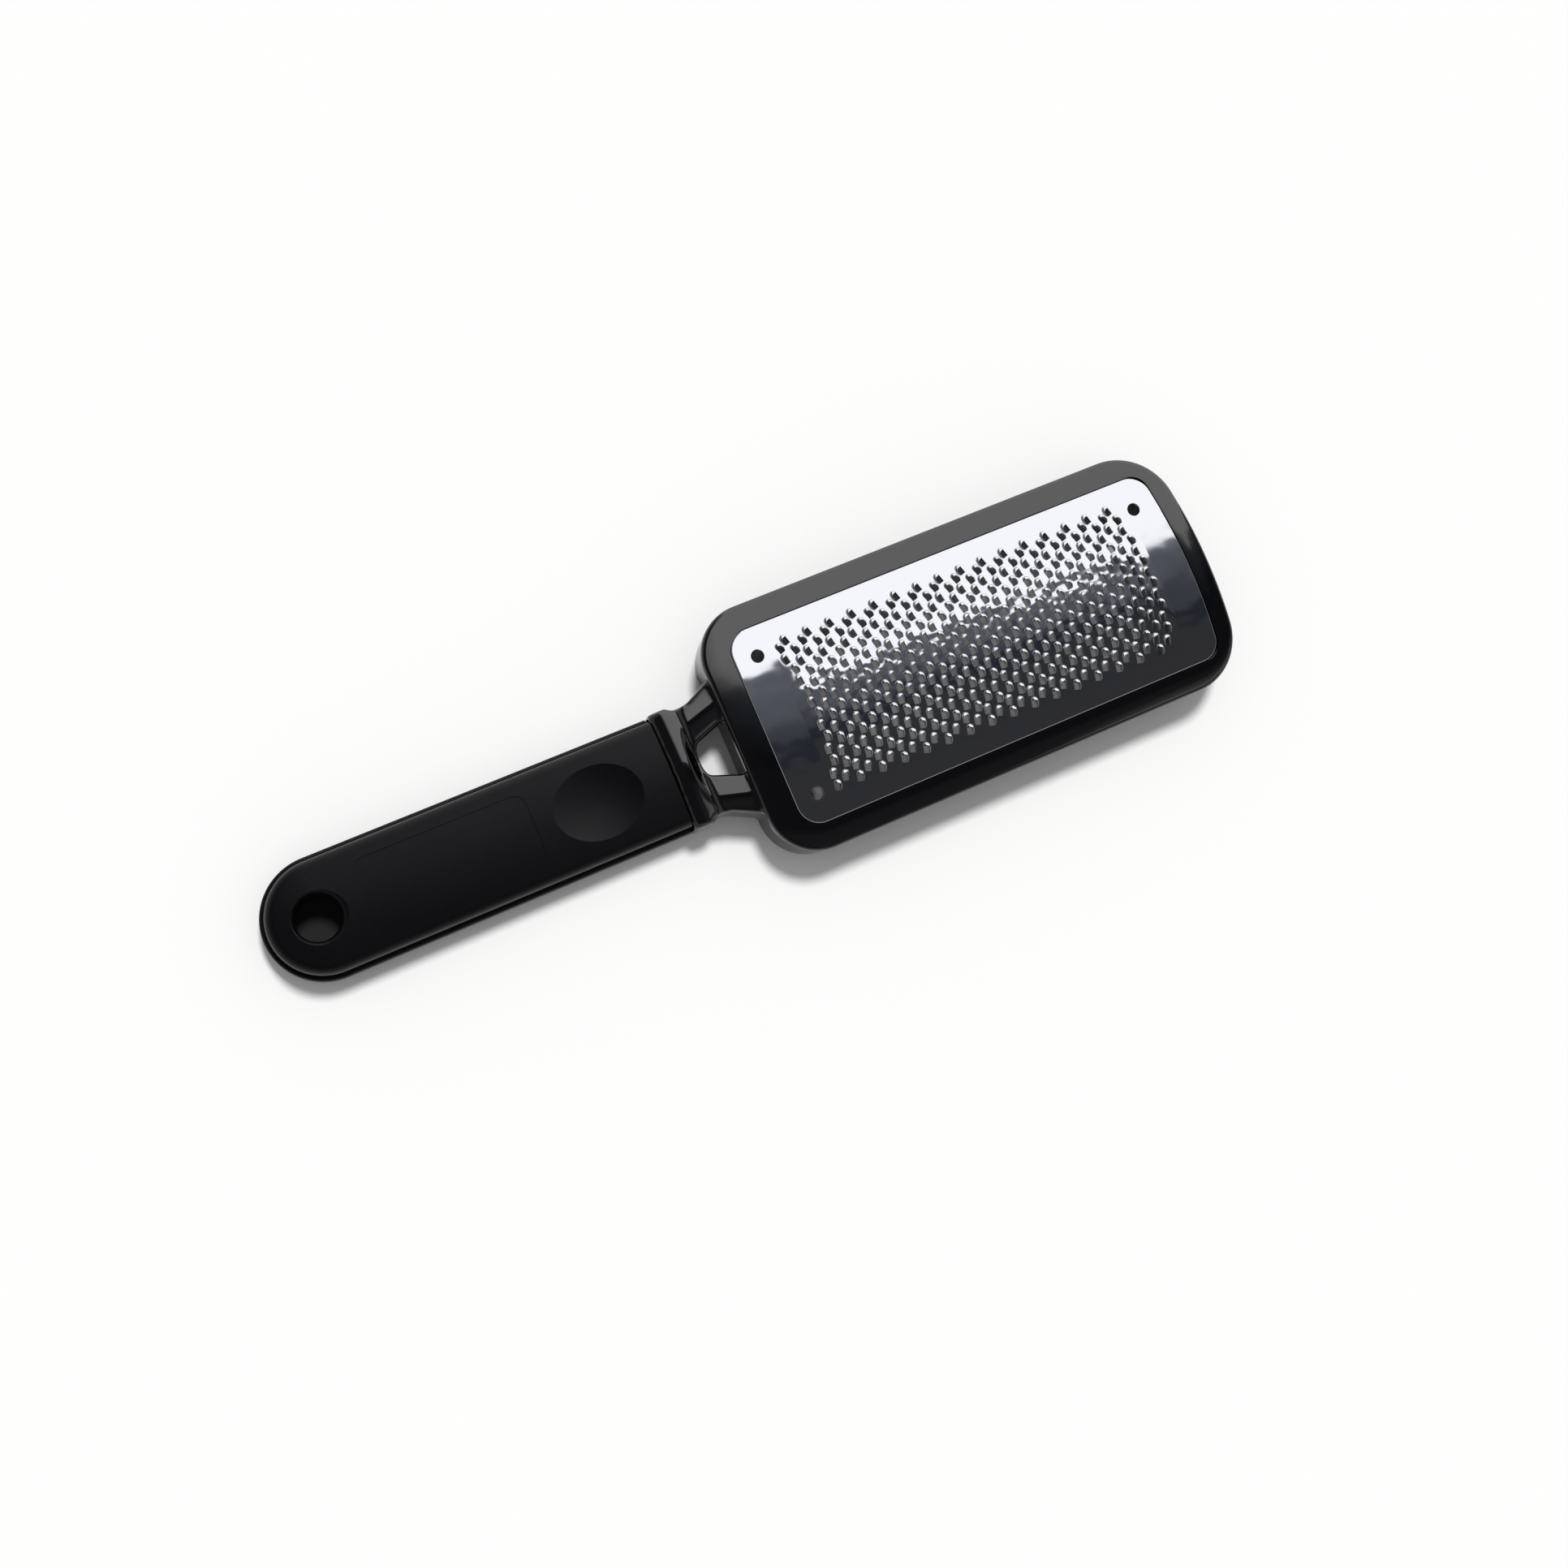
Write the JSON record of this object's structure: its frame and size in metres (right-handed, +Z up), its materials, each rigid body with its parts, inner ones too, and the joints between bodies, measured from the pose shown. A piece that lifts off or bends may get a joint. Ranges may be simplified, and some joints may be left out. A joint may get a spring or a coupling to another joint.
{
  "type": "foot file",
  "caption": "Large paddle foot file with a stamped steel rasp plate seated in a black plastic frame and a soft-touch grip with a hang hole.",
  "frame": {"origin": "centre of the bounding box in plan, on the surface that the tool lies on", "axes": "+X along the tool from the hang hole to the head's tip, +Z up out of the toothed face, +Y to the left of +X"},
  "size_m": [0.256, 0.0646, 0.0151],
  "materials": {
    "gloss_black": "glossy moulded black plastic",
    "soft_black": "matt soft-touch black",
    "steel": "bright rolled stainless steel"
  },
  "bodies": {
    "root": {"frame": "gloss_black", "grip": "soft_black", "rasp_plate": "steel"}
  },
  "joints": []
}
